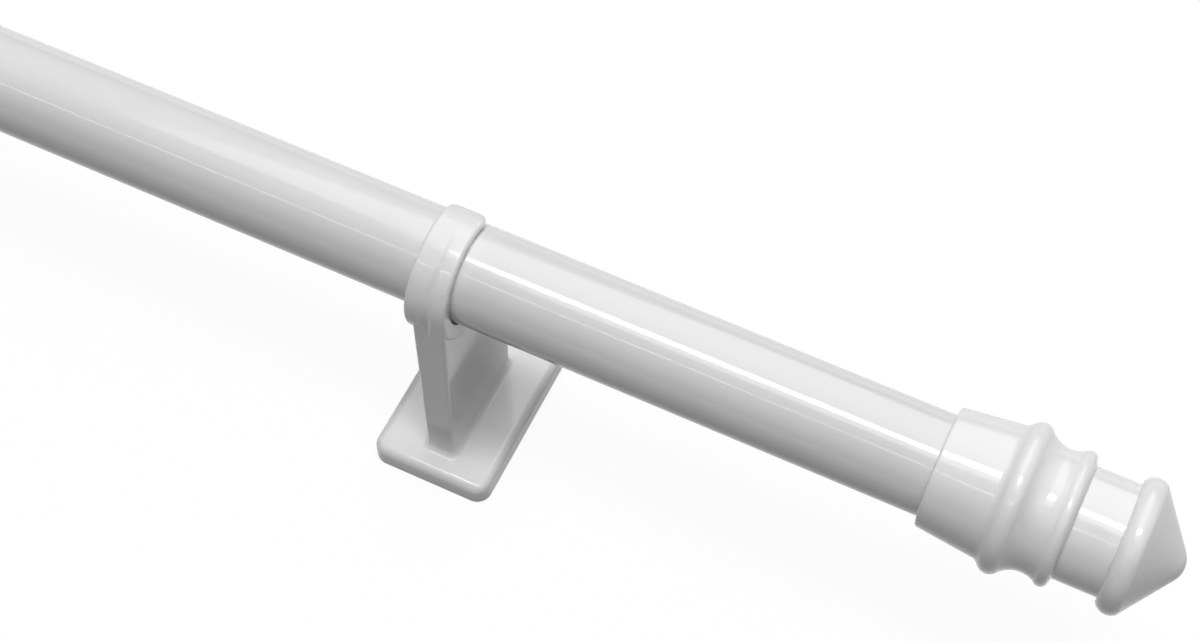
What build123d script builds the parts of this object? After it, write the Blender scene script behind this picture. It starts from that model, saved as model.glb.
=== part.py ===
from build123d import *
from math import acos, atan2, cos, hypot, radians, sin
import os

# Extendable cafe curtain rod: two telescoping steel tubes, a moulded finial on each end and two
# one-piece hook brackets that stand on self-adhesive pads. Millimetres. X runs along the rod, towards
# the outer tube's finial. Z is the distance from the mounting surface, which is z = 0. The origin is
# the middle of the whole footprint.

# Tubes, rolled from painted steel strip
outer_tube_radius = 6.0
outer_tube_wall = 0.4
outer_tube_length = 330.0
tube_play = 0.2
inner_tube_wall = 0.4
inner_tube_length = 330.0
inner_exposed_length = 90.0
mouth_lip_length = 1.2
mouth_lip_clearance = 0.07
mouth_edge_round = 0.3
seam_width = 0.5
seam_depth = 0.12

# Guide plug in the hidden end of the inner tube
plug_head_length = 8.0
plug_running_clearance = 0.05
plug_spigot_length = 14.0
plug_spigot_clearance = 0.02
plug_waist_length = 4.0
plug_waist_depth = 0.5
plug_core_radius = 3.2
plug_floor = 1.6

# Finial: lengths are counted from its rim
finial_length = 28.3
socket_depth = 17.0
socket_clearance = 0.05
socket_end_gap = 0.1
socket_lead_in = 0.3
rim_radius = 7.1
rim_round = 0.35
skirt_length = 7.6
skirt_end_radius = 7.9
bead_crest = 9.0
bead_radius = 8.9
bead_end = 10.2
bead_end_radius = 8.25
cove_middle = 12.4
cove_radius = 7.25
cove_end = 14.0
cove_end_radius = 7.62
ridge_crest = 14.6
ridge_radius = 7.95
ridge_end = 15.6
ridge_end_radius = 7.1
neck_start = 15.8
neck_radius = 6.6
neck_end = 20.9
shoulder_radius = 7.1
head_crest = 22.4
head_radius = 7.95
head_end = 23.5
head_end_radius = 7.55
nose_radius = 2.9
ramp_round = 1.2
crease_round = 0.35
head_round = 0.8
core_wall = 1.9
core_end = 24.0

# Sleeve that fills the finial's socket on the thinner tube
sleeve_length = 15.5
sleeve_clearance = 0.05

# Bracket: base, web and hook in one moulding. The hook wraps the rod from below, round its front and over
# its top, and stays open behind so that the rod snaps in. It is wider than the web, which stands a little
# off its middle
bracket_setback = 60.0
rod_height = 35.5
ring_clearance = 0.3
arch_top_wall = 0.65
arch_side_wall = 1.45
collar_top_wall = 0.7
collar_foot_wall = 2.35
collar_top_width = 5.0
collar_foot_width = 5.6
collar_edge_round = 0.45
web_top_width = 4.1
web_foot_width = 3.6
web_offset = 0.4
web_edge_round = 0.4
web_foot_round = 0.8
valley_half_width = 1.0
valley_depth = 0.2
valley_fade = 0.4
valley_foot_height = 25.0
lip_end_angle = 51.0
lip_end_width = 5.1
lip_corner_round = 1.4
throat_drop = 5.9
throat_corner_round = 2.0
base_length = 32.0
base_width = 16.0
base_thickness = 3.1
base_front = 11.0
base_corner_round = 1.9
base_edge_round = 1.1

# Self-adhesive pad in the recess under the base
pad_thickness = 0.8
pad_recess_depth = 0.6
pad_border = 1.3
pad_play = 0.15
pad_corner_round = 1.2

# Two places this close are one place
same_place = 0.01

# Places worked out from the sizes above
inner_tube_radius = outer_tube_radius - outer_tube_wall - tube_play
rod_y = base_front - base_length / 2
finial_reach = finial_length - socket_depth
rod_length = outer_tube_length + inner_exposed_length
half_length = rod_length / 2 + socket_end_gap + finial_reach
right_end = half_length - finial_reach - socket_end_gap
left_end = -right_end
outer_mouth = right_end - outer_tube_length
inner_hidden_end = left_end + inner_tube_length
right_rim = half_length - finial_length
right_bracket_x = right_rim - bracket_setback
base_bottom = pad_thickness - pad_recess_depth
base_top = base_bottom + base_thickness
ring_bore_radius = outer_tube_radius + ring_clearance
arch_radius = ring_bore_radius + arch_side_wall
arch_height = rod_height - (arch_side_wall - arch_top_wall)
collar_radius = ring_bore_radius + (collar_top_wall + collar_foot_wall) / 2
collar_height = rod_height - (collar_foot_wall - collar_top_wall) / 2
throat_floor = rod_height - throat_drop


def along_rod(x):
    """Plane across the rod at x, its local x along +Y and its normal along +X."""
    return Plane(origin=(x, rod_y, rod_height), x_dir=(0, 1, 0), z_dir=(1, 0, 0))


def touch_angle(centre, radius, outside, side):
    """Angle on a circle at which the straight line from an outside point touches it."""
    away = (outside[0] - centre[0], outside[1] - centre[1])
    return atan2(away[1], away[0]) + side * acos(radius / hypot(*away))


def turned(outline, start_x, direction):
    """Revolves an outline of (distance from start, radius) about the rod's axis, towards +X or -X."""
    solid = revolve(outline, axis=Axis.X)
    return Pos(start_x, rod_y, rod_height) * Rot(0, 0, 90 - 90 * direction) * solid


def rod_seam(start_x, length, radius):
    """Butt seam that the rolled strip leaves along the tube, on the side of the mounting surface."""
    middle = (start_x + length / 2, rod_y, rod_height - radius)
    return Pos(*middle) * Box(length, seam_width, 2 * seam_depth)


def make_outer_tube():
    bore = outer_tube_radius - outer_tube_wall
    lip = inner_tube_radius + mouth_lip_clearance
    section = make_face(Polyline(
        (0, lip), (mouth_lip_length, lip), (mouth_lip_length + outer_tube_wall, bore),
        (outer_tube_length, bore), (outer_tube_length, outer_tube_radius),
        (mouth_edge_round, outer_tube_radius), (0, outer_tube_radius - mouth_edge_round), (0, lip)))
    tube = turned(section, outer_mouth, 1)
    seam = rod_seam(outer_mouth + mouth_lip_length, outer_tube_length - mouth_lip_length, outer_tube_radius)
    return tube - seam


def make_inner_tube():
    plane = along_rod(left_end)
    ring = Circle(inner_tube_radius) - Circle(inner_tube_radius - inner_tube_wall)
    tube = extrude(plane * ring, inner_tube_length)
    return tube - rod_seam(left_end, inner_tube_length, inner_tube_radius)


def make_guide_plug():
    head = outer_tube_radius - outer_tube_wall - plug_running_clearance
    spigot = inner_tube_radius - inner_tube_wall - plug_spigot_clearance
    waist_start = (plug_head_length - plug_waist_length) / 2
    waist = head - plug_waist_depth
    floor = plug_head_length - plug_floor
    section = make_face(Polyline(
        (-plug_spigot_length, plug_core_radius), (-plug_spigot_length, spigot), (0, spigot),
        (0, head), (waist_start, head), (waist_start, waist),
        (waist_start + plug_waist_length, waist), (waist_start + plug_waist_length, head),
        (plug_head_length, head), (plug_head_length, 0), (floor, 0), (floor, plug_core_radius),
        (-plug_spigot_length, plug_core_radius)))
    return turned(section, inner_hidden_end, 1)


def finial_outline():
    """Half section of the finial: turned outside, socket for the tube and moulded-out core."""
    socket = outer_tube_radius + socket_clearance
    core = socket - core_wall
    rim_middle = rim_round * (1 - 2 ** -0.5)
    nose_centre = finial_length - nose_radius
    nose_touch = touch_angle((nose_centre, 0), nose_radius, (head_end, head_end_radius), -1)
    nose_start = (nose_centre + nose_radius * cos(nose_touch), nose_radius * sin(nose_touch))
    nose_middle = (nose_centre + nose_radius * cos(nose_touch / 2), nose_radius * sin(nose_touch / 2))
    edges = [
        Line((0, socket + socket_lead_in), (0, rim_radius - rim_round)),
        ThreePointArc((0, rim_radius - rim_round), (rim_middle, rim_radius - rim_middle),
                      (rim_round, rim_radius)),
        Line((rim_round, rim_radius), (skirt_length, skirt_end_radius)),
        ThreePointArc((skirt_length, skirt_end_radius), (bead_crest, bead_radius),
                      (bead_end, bead_end_radius)),
        ThreePointArc((bead_end, bead_end_radius), (cove_middle, cove_radius), (cove_end, cove_end_radius)),
        ThreePointArc((cove_end, cove_end_radius), (ridge_crest, ridge_radius),
                      (ridge_end, ridge_end_radius)),
        Line((ridge_end, ridge_end_radius), (neck_start, neck_radius)),
        Line((neck_start, neck_radius), (neck_end, neck_radius)),
        Line((neck_end, neck_radius), (neck_end, shoulder_radius)),
        ThreePointArc((neck_end, shoulder_radius), (head_crest, head_radius), (head_end, head_end_radius)),
        Line((head_end, head_end_radius), nose_start),
        ThreePointArc(nose_start, nose_middle, (finial_length, 0)),
        Line((finial_length, 0), (core_end, 0)),
        Line((core_end, 0), (neck_end, core)),
        Line((neck_end, core), (socket_depth, core)),
        Line((socket_depth, core), (socket_depth, socket)),
        Line((socket_depth, socket), (socket_lead_in, socket)),
        Line((socket_lead_in, socket), (0, socket + socket_lead_in)),
    ]
    outline = make_face(Wire(edges))
    rounds = {skirt_length: ramp_round, bead_end: crease_round, cove_end: crease_round, head_end: head_round}
    for place, radius in rounds.items():
        corner = [point for point in outline.vertices() if abs(point.X - place) < same_place]
        outline = fillet(corner, radius)
    return outline


def make_finial(direction):
    return turned(finial_outline(), direction * right_rim, direction)


def make_finial_sleeve():
    outside = outer_tube_radius
    inside = inner_tube_radius + sleeve_clearance
    start = socket_depth - sleeve_length
    section = make_face(Polyline(
        (start, inside), (start, outside), (socket_depth, outside), (socket_depth, inside), (start, inside)))
    return turned(section, -right_rim, -1)


def front_face(x, foot_width, top_width, foot_height, top_height):
    """Tapered upright strip through the whole depth, seen from the front, with its middle at x."""
    plane = Plane(origin=(x, rod_y, 0), x_dir=(1, 0, 0), z_dir=(0, -1, 0))
    outline = make_face(Polyline(
        (-foot_width / 2, foot_height), (foot_width / 2, foot_height),
        (top_width / 2, top_height), (-top_width / 2, top_height), (-foot_width / 2, foot_height)))
    return extrude(plane * outline, base_length, both=True)


def lengthways(x, reach, outline):
    """Outline in (depth, height) drawn out along the rod to both sides of x."""
    plane = Plane(origin=(x, rod_y, 0), x_dir=(0, 1, 0), z_dir=(1, 0, 0))
    return extrude(plane * outline, reach, both=True)


def make_base(x):
    plate = Pos(x, 0, base_bottom) * extrude(
        RectangleRounded(base_width, base_length, base_corner_round), base_thickness)
    plate = fillet(plate.edges().filter_by_position(Axis.Z, base_top, base_top), base_edge_round)
    recess = Pos(x, 0, base_bottom) * extrude(RectangleRounded(
        base_width - 2 * pad_border, base_length - 2 * pad_border, pad_corner_round), pad_recess_depth)
    return plate - recess


def throat():
    """Side view of the opening behind the rod, from the throat's floor up to the rod's axis."""
    return Pos(base_length / 2, rod_height - throat_drop / 2) * Rectangle(base_length, throat_drop)


def make_web(x):
    """Upright web whose top hooks over the rod, rounded along both edges."""
    root = base_bottom + base_thickness / 2
    spring_line = rod_height - arch_radius
    crown = arch_height + 2 * arch_radius
    outline = Pos(0, arch_height) * Circle(arch_radius)
    outline += Pos(0, arch_height / 2) * Rectangle(2 * arch_radius, arch_height)
    outline -= throat()
    corner = [point for point in outline.vertices()
              if hypot(point.X - arch_radius, point.Y - throat_floor) < same_place]
    outline = fillet(corner, throat_corner_round)
    strip = front_face(x, web_foot_width, web_top_width, root, spring_line)
    strip += front_face(x, web_top_width, web_top_width, spring_line, crown)
    web = lengthways(x, web_top_width, outline) & strip
    return fillet([edge for edge in web.edges() if is_rim(edge, x)], web_edge_round)


def is_rim(edge, x):
    """True for the edges along the web's outside: its front, its top, the throat's floor and its back."""
    middle = edge @ 0.5
    depth = middle.Y - rod_y
    arch = abs(hypot(depth, max(0.0, middle.Z - arch_height)) - arch_radius) < same_place
    corner_reach = hypot(depth - arch_radius + throat_corner_round,
                         middle.Z - throat_floor + throat_corner_round)
    corner = abs(corner_reach - throat_corner_round) < same_place
    floor = abs(middle.Z - throat_floor) < same_place
    return (arch or corner or floor) and abs(middle.X - x) > web_foot_width / 4


def is_foot(edge, x):
    """True for the edges where the web meets the top of the base."""
    flat = abs((edge @ 0.0).Z - base_top) < same_place and abs((edge @ 1.0).Z - base_top) < same_place
    middle = edge @ 0.5
    return (flat and abs(middle.X - x) < web_top_width
            and abs(middle.Y - rod_y) < arch_radius + same_place)


def make_collar(x):
    """Body of the hook before it is bored, thickest and widest under the rod."""
    outline = Pos(0, collar_height) * Circle(collar_radius) - throat()
    strip = front_face(x, collar_foot_width, collar_top_width, collar_height - collar_radius,
                       collar_height + collar_radius)
    collar = lengthways(x, collar_foot_width, outline) & strip
    outside = [edge for edge in collar.edges()
               if hypot((edge @ 0.5).Y - rod_y, (edge @ 0.5).Z - rod_height) > ring_bore_radius]
    return fillet(outside, collar_edge_round)


def front_valley(x):
    """Shallow valley between the two rolls of the hook's front; it fades at the foot and over the top."""
    front_y = arch_radius + valley_fade
    touch = touch_angle((0, arch_height), arch_radius, (front_y, valley_foot_height), 1)
    end_angle = radians(lip_end_angle)
    foot = (x, rod_y - front_y, valley_foot_height)
    bend = (x, rod_y - arch_radius * cos(touch), arch_height + arch_radius * sin(touch))
    tip = (x, rod_y + front_y * cos(end_angle), arch_height + front_y * sin(end_angle))
    rise = Line(foot, bend)
    path = Wire([rise, TangentArc(bend, tip, tangent=rise % 1)])
    section_plane = Plane(origin=foot, x_dir=(1, 0, 0), z_dir=path % 0)
    inward = valley_depth if section_plane.y_dir.Y > 0 else -valley_depth
    section = section_plane * make_face(Polyline(
        (-valley_half_width, -inward), (valley_half_width, -inward), (0, inward),
        (-valley_half_width, -inward)))
    return sweep(section, path=path)


def beyond_lip(x):
    """Space that ends the hook's lip in a tongue with rounded corners."""
    angle = radians(lip_end_angle)
    plane = Plane(origin=(x, rod_y, rod_height), x_dir=(1, 0, 0), z_dir=(0, cos(angle), sin(angle)))
    reach = ring_bore_radius + collar_foot_wall
    space = Pos(0, (reach - lip_corner_round) / 2) * Rectangle(base_width, reach + lip_corner_round)
    tongue = Pos(0, -base_length / 2) * RectangleRounded(lip_end_width, base_length, lip_corner_round)
    return extrude(plane * (space - tongue), reach)


def make_bracket(x):
    web_x = x + web_offset
    body = make_base(x) + make_web(web_x)
    body = fillet([edge for edge in body.edges() if is_foot(edge, web_x)], web_foot_round)
    body = body + make_collar(x) - front_valley(web_x)
    bore = lengthways(x, collar_foot_width, Pos(0, rod_height) * Circle(ring_bore_radius))
    return body - bore - beyond_lip(x)


def make_pad(x):
    width = base_width - 2 * pad_border - 2 * pad_play
    length = base_length - 2 * pad_border - 2 * pad_play
    return Pos(x, 0, 0) * extrude(RectangleRounded(width, length, pad_corner_round - pad_play), pad_thickness)


pieces = {
    "outer_tube": make_outer_tube(),
    "inner_tube": make_inner_tube(),
    "guide_plug": make_guide_plug(),
    "right_finial": make_finial(1),
    "left_finial": make_finial(-1),
    "finial_sleeve": make_finial_sleeve(),
    "right_bracket": make_bracket(right_bracket_x),
    "left_bracket": make_bracket(-right_bracket_x),
    "right_adhesive_pad": make_pad(right_bracket_x),
    "left_adhesive_pad": make_pad(-right_bracket_x),
}

os.makedirs("parts", exist_ok=True)
for name, solid in pieces.items():
    export_step(solid, f"parts/{name}.step")
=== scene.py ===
from math import cos, pi, radians, sin

import bpy
from mathutils import Matrix, Vector

# Looks of an extendable cafe curtain rod: white enamelled tubes, white moulded finials and brackets.
# Metres, in the frame's own axes: X along the rod, Z away from the mounting surface.

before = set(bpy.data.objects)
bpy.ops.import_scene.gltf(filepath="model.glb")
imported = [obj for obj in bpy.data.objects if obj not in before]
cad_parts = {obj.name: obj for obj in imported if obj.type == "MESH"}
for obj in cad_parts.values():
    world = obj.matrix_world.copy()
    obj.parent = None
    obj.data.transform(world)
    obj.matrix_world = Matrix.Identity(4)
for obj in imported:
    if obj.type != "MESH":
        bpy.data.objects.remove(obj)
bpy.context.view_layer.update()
scene = bpy.context.scene

# Camera of the photograph: widths in pixels, angles in degrees, sensor in millimetres
picture_width = 1200
camera_focal_pixels = 2293.5
camera_place = (0.20895, -0.12673, 0.25952)
camera_down = 58.88
camera_turn = -25.15
camera_roll = 0.53
camera_nearest = 0.01
sensor_width = 36.0

# Lamps that face straight down, in metres: (x from, x to, y from, y to, height, radiance)
ceiling_lamps = {
    "overhead_strip": (-0.05, 0.32, -0.090, 0.010, 0.66, 13.0),
    "back_panel": (-0.22, 0.32, 0.010, 2.400, 0.70, 1.85),
    "over_front": (-0.05, 0.32, -0.220, -0.090, 0.70, 3.0),
    "front_right": (0.32, 1.00, -0.520, 0.010, 0.70, 1.0),
    "front_line": (-0.60, 0.40, -0.545, -0.525, 0.70, 9.0),
}
room_light = 0.08

# Square floor, a hair below the pads: its tone is what bounced light meets, its glow what the camera sees
floor_size = 6.0
floor_drop = 0.0002
floor_tone = 0.09
floor_roughness = 0.9
floor_glow = 0.92

# Refractive index of the enamel and of the moulded plastic
enamel_index = 1.5
plastic_index = 1.49

# Range in which nearly all of a noise's values lie
noise_low = 0.3
noise_high = 0.7


def principled(material):
    return material.node_tree.nodes["Principled BSDF"]


def new_material(name):
    material = bpy.data.materials.new(name)
    material.use_nodes = True
    return material


def add_node(material, kind, **inputs):
    node = material.node_tree.nodes.new(kind)
    for key, value in inputs.items():
        node.inputs[key].default_value = value
    return node


def link(material, source, target):
    material.node_tree.links.new(source, target)


def object_noise(material, scale, detail=2.0, stretch=(1.0, 1.0, 1.0)):
    """Noise fixed to the object's own coordinates, with the pattern's scale in cells per metre."""
    coordinates = add_node(material, "ShaderNodeTexCoord")
    mapping = add_node(material, "ShaderNodeMapping", Scale=stretch)
    noise = add_node(material, "ShaderNodeTexNoise", Scale=scale, Detail=detail)
    link(material, coordinates.outputs["Object"], mapping.inputs["Vector"])
    link(material, mapping.outputs["Vector"], noise.inputs["Vector"])
    return noise


def spread(material, noise, low, high):
    """Noise value stretched over a narrow range."""
    span = add_node(material, "ShaderNodeMapRange")
    span.inputs["From Min"].default_value = noise_low
    span.inputs["From Max"].default_value = noise_high
    span.inputs["To Min"].default_value = low
    span.inputs["To Max"].default_value = high
    link(material, noise.outputs["Fac"], span.inputs["Value"])
    return span.outputs["Result"]


def tint(material, noise, first, second):
    """Colour that drifts between two close tones."""
    mix = material.node_tree.nodes.new("ShaderNodeMix")
    mix.data_type = "RGBA"
    mix.inputs["A"].default_value = (*first, 1.0)
    mix.inputs["B"].default_value = (*second, 1.0)
    link(material, noise.outputs["Fac"], mix.inputs["Factor"])
    link(material, mix.outputs["Result"], principled(material).inputs["Base Color"])


def bump(material, noise, height):
    """Fine unevenness of the surface, with its height in metres."""
    node = add_node(material, "ShaderNodeBump", Distance=height, Strength=1.0)
    link(material, noise.outputs["Fac"], node.inputs["Height"])
    link(material, node.outputs["Normal"], principled(material).inputs["Normal"])


def make_enamel():
    """Glossy white enamel on rolled steel: faint orange peel, drawn out along the tube."""
    material = new_material("white_enamel")
    shader = principled(material)
    shader.inputs["IOR"].default_value = enamel_index
    tint(material, object_noise(material, 60.0), (0.77, 0.77, 0.77), (0.80, 0.80, 0.80))
    gloss = object_noise(material, 400.0, stretch=(0.15, 1.0, 1.0))
    link(material, spread(material, gloss, 0.08, 0.12), shader.inputs["Roughness"])
    bump(material, object_noise(material, 900.0, stretch=(0.3, 1.0, 1.0)), 0.000004)
    return material


def make_moulding(name, first, second, glow_weight, glow_depth):
    """Smooth white moulded plastic that lets a little light through its skin."""
    material = new_material(name)
    shader = principled(material)
    shader.inputs["IOR"].default_value = plastic_index
    tint(material, object_noise(material, 90.0), first, second)
    shader.inputs["Subsurface Weight"].default_value = glow_weight
    shader.inputs["Subsurface Radius"].default_value = (1.0, 1.0, 1.0)
    shader.inputs["Subsurface Scale"].default_value = glow_depth
    link(material, spread(material, object_noise(material, 300.0), 0.07, 0.12), shader.inputs["Roughness"])
    bump(material, object_noise(material, 250.0), 0.000003)
    return material


def make_plug_plastic():
    """Unpigmented matt plastic of the hidden fittings."""
    material = new_material("natural_plastic")
    shader = principled(material)
    tint(material, object_noise(material, 120.0), (0.70, 0.70, 0.67), (0.76, 0.76, 0.73))
    link(material, spread(material, object_noise(material, 600.0), 0.45, 0.6), shader.inputs["Roughness"])
    bump(material, object_noise(material, 1200.0), 0.00001)
    return material


def make_foam():
    """Closed-cell foam tape."""
    material = new_material("foam_tape")
    shader = principled(material)
    tint(material, object_noise(material, 500.0), (0.72, 0.72, 0.70), (0.80, 0.80, 0.78))
    link(material, spread(material, object_noise(material, 1500.0), 0.75, 0.95), shader.inputs["Roughness"])
    cells = add_node(material, "ShaderNodeTexVoronoi", Scale=3500.0)
    coordinates = add_node(material, "ShaderNodeTexCoord")
    link(material, coordinates.outputs["Object"], cells.inputs["Vector"])
    node = add_node(material, "ShaderNodeBump", Distance=0.00004, Strength=1.0)
    link(material, cells.outputs["Distance"], node.inputs["Height"])
    link(material, node.outputs["Normal"], shader.inputs["Normal"])
    return material


def make_floor_material():
    """Pale floor: white to the camera and in reflections, dark to bounced light, and it keeps shadows."""
    material = new_material("pale_floor")
    nodes = material.node_tree.nodes
    shader = principled(material)
    shader.inputs["Base Color"].default_value = (floor_tone, floor_tone, floor_tone, 1.0)
    shader.inputs["Roughness"].default_value = floor_roughness
    shader.inputs["Specular IOR Level"].default_value = 0.0
    glow = add_node(material, "ShaderNodeEmission")
    total = nodes.new("ShaderNodeAddShader")
    path = nodes.new("ShaderNodeLightPath")
    seen = path.outputs["Is Camera Ray"]
    for ray in ("Is Glossy Ray", "Is Transmission Ray"):
        either = nodes.new("ShaderNodeMath")
        either.operation = "MAXIMUM"
        link(material, seen, either.inputs[0])
        link(material, path.outputs[ray], either.inputs[1])
        seen = either.outputs["Value"]
    level = nodes.new("ShaderNodeMath")
    level.operation = "MULTIPLY"
    level.inputs[1].default_value = floor_glow
    link(material, seen, level.inputs[0])
    link(material, level.outputs["Value"], glow.inputs["Strength"])
    output = nodes["Material Output"]
    link(material, shader.outputs["BSDF"], total.inputs[0])
    link(material, glow.outputs["Emission"], total.inputs[1])
    link(material, total.outputs["Shader"], output.inputs["Surface"])
    return material


def add_lamp(name, place, width, depth, radiance):
    """Rectangular lamp that faces straight down."""
    data = bpy.data.lights.new(name, "AREA")
    data.shape = "RECTANGLE"
    data.size = width
    data.size_y = depth
    data.energy = radiance * pi * width * depth
    lamp = bpy.data.objects.new(name, data)
    scene.collection.objects.link(lamp)
    lamp.location = place


def add_lamps():
    """Ceiling lamps of the table above."""
    for name, (x_from, x_to, y_from, y_to, height, radiance) in ceiling_lamps.items():
        middle = ((x_from + x_to) / 2, (y_from + y_to) / 2, height)
        add_lamp(name, middle, x_to - x_from, y_to - y_from, radiance)


def add_camera():
    """Camera from its place, its angles and the picture's focal length."""
    down, turn, roll = radians(camera_down), radians(camera_turn), radians(camera_roll)
    forward = Vector((sin(turn) * cos(down), cos(turn) * cos(down), -sin(down)))
    level_right = Vector((cos(turn), -sin(turn), 0.0))
    level_up = level_right.cross(forward)
    right = cos(roll) * level_right + sin(roll) * level_up
    up = -sin(roll) * level_right + cos(roll) * level_up
    data = bpy.data.cameras.new("camera")
    data.sensor_width = sensor_width
    data.lens = camera_focal_pixels / picture_width * sensor_width
    data.clip_start = camera_nearest
    camera = bpy.data.objects.new("camera", data)
    scene.collection.objects.link(camera)
    facing = Matrix((right, up, -forward)).transposed().to_4x4()
    camera.matrix_world = Matrix.Translation(camera_place) @ facing
    scene.camera = camera


def add_floor():
    """Square floor that stays out of the object's own pieces."""
    mesh = bpy.data.meshes.new("floor")
    half = floor_size / 2
    corners = [(-half, -half), (half, -half), (half, half), (-half, half)]
    mesh.from_pydata([(x, y, -floor_drop) for x, y in corners], [], [(0, 1, 2, 3)])
    floor = bpy.data.objects.new("floor", mesh)
    scene.collection.objects.link(floor)
    mesh.materials.append(make_floor_material())


def dress(material, *names):
    """Gives the named pieces one material in place of their own."""
    for name in names:
        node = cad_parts[name]
        node.data.materials.clear()
        node.data.materials.append(material)


dress(make_enamel(), "outer_tube", "inner_tube")

# The same white plastic comes in two copies. The brackets' copy is made paler to stand in for the extra
# light that falls on the base plate (painted light), and light goes deeper into it
finial_white = make_moulding("finial_white", (0.85, 0.85, 0.85), (0.88, 0.88, 0.88), 0.25, 0.001)
bracket_white_painted_light = make_moulding("bracket_white_painted_light", (0.94, 0.94, 0.94), (0.96, 0.96, 0.96), 0.6, 0.002)
dress(finial_white, "right_finial", "left_finial")
dress(bracket_white_painted_light, "right_bracket", "left_bracket")
dress(make_plug_plastic(), "guide_plug", "finial_sleeve")
dress(make_foam(), "right_adhesive_pad", "left_adhesive_pad")

add_floor()
add_camera()
add_lamps()
world = bpy.data.worlds.new("studio")
scene.world = world
world.use_nodes = True
world.node_tree.nodes["Background"].inputs["Color"].default_value = (1.0, 1.0, 1.0, 1.0)
world.node_tree.nodes["Background"].inputs["Strength"].default_value = room_light
scene.view_settings.view_transform = "Standard"
